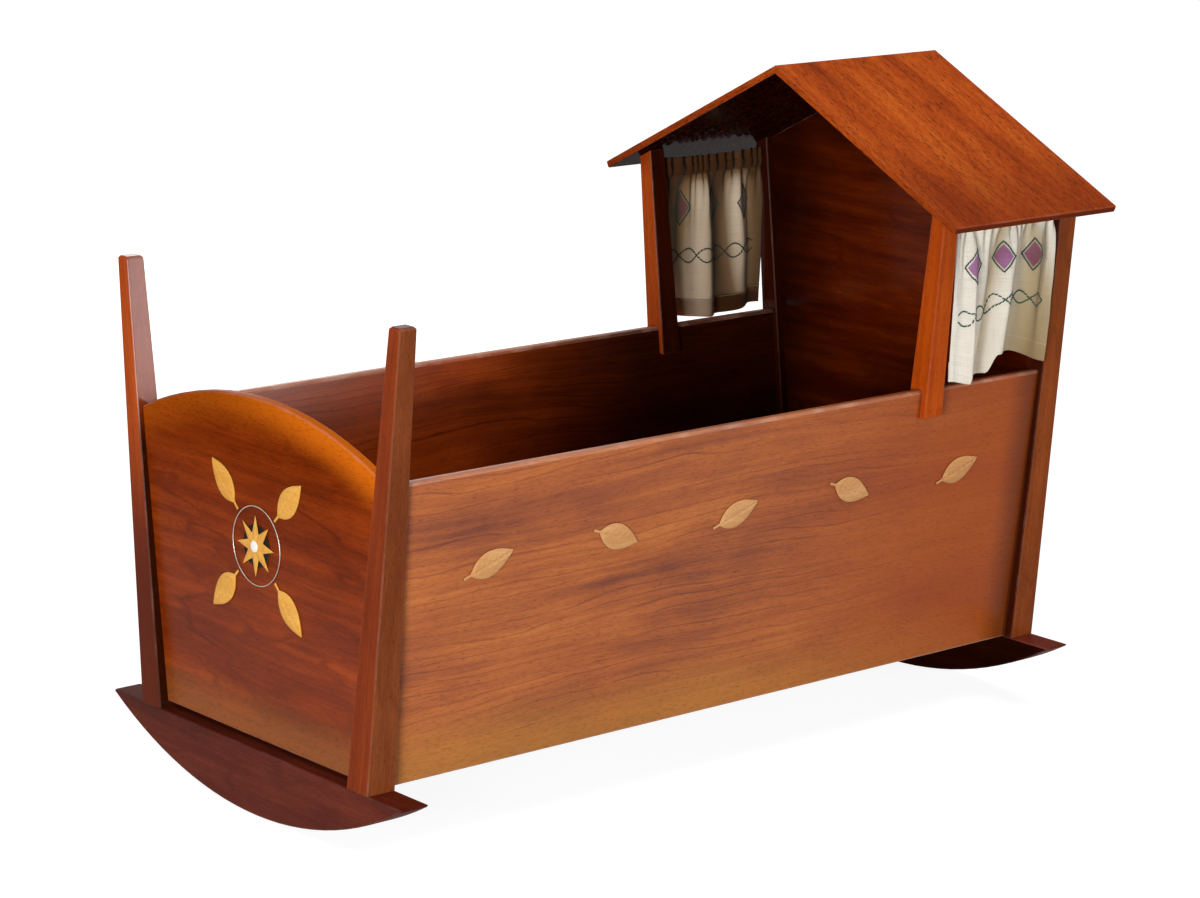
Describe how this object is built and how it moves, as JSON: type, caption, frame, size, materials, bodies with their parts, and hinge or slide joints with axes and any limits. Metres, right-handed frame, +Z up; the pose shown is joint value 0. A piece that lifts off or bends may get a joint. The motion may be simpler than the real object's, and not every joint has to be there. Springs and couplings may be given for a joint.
{
  "type": "rocking bassinet",
  "caption": "Wooden rocking cradle on two curved rockers, with splayed tapered posts, an arched foot panel, a gabled hood and two curtains that draw along wires.",
  "frame": {"origin": "on the floor, under the middle of the cradle's overall box", "axes": "+X towards the head and its hood, +Y across to the far side, +Z up"},
  "size_m": [0.9336, 0.5552, 0.6989],
  "materials": {
    "rocker_wood": "satin polish",
    "post_wood": "satin polish",
    "side_panel_wood": "satin polish",
    "end_panel_wood": "satin polish",
    "inner_wood": "satin polish",
    "roof_wood": "satin polish",
    "pale_wood": "satin polish",
    "dark_wood": "satin polish",
    "bone": "polished",
    "linen": "woven",
    "steel_wire": "drawn"
  },
  "bodies": {
    "cradle": {"foot_rocker": "rocker_wood", "head_rocker": "rocker_wood", "near_foot_post": "post_wood", "far_foot_post": "post_wood", "near_head_post": "post_wood", "far_head_post": "post_wood", "near_hood_post": "post_wood", "far_hood_post": "post_wood", "near_side_panel": "side_panel_wood", "far_side_panel": "side_panel_wood", "foot_panel": "end_panel_wood", "head_panel": "end_panel_wood", "near_side_ledge": "inner_wood", "far_side_ledge": "inner_wood", "foot_end_ledge": "inner_wood", "head_end_ledge": "inner_wood", "bottom_board": "inner_wood", "near_roof_board": "roof_wood", "far_roof_board": "roof_wood", "near_curtain": "linen", "far_curtain": "linen", "near_curtain_wire": "steel_wire", "far_curtain_wire": "steel_wire", "near_side_leaf_1": "pale_wood", "near_side_leaf_2": "pale_wood", "near_side_leaf_3": "pale_wood", "near_side_leaf_4": "pale_wood", "near_side_leaf_5": "pale_wood", "far_side_leaf_1": "pale_wood", "far_side_leaf_2": "pale_wood", "far_side_leaf_3": "pale_wood", "far_side_leaf_4": "pale_wood", "far_side_leaf_5": "pale_wood", "foot_leaf_1": "pale_wood", "foot_leaf_2": "pale_wood", "foot_leaf_3": "pale_wood", "foot_leaf_4": "pale_wood", "star": "pale_wood", "star_roundel": "dark_wood", "star_centre": "bone", "star_ring": "steel_wire"},
    "near_curtain_edge": {"near_curtain_leading_hem": "linen"},
    "far_curtain_edge": {"far_curtain_leading_hem": "linen"}
  },
  "joints": [
    {"name": "near_curtain_draw", "type": "slide", "parent": "cradle", "child": "near_curtain_edge", "axis": [1, 0, 0], "range_m": [0, 0.095], "deforming": ["near_curtain"]},
    {"name": "far_curtain_draw", "type": "slide", "parent": "cradle", "child": "far_curtain_edge", "axis": [1, 0, 0], "range_m": [0, 0.095], "deforming": ["far_curtain"]}
  ]
}
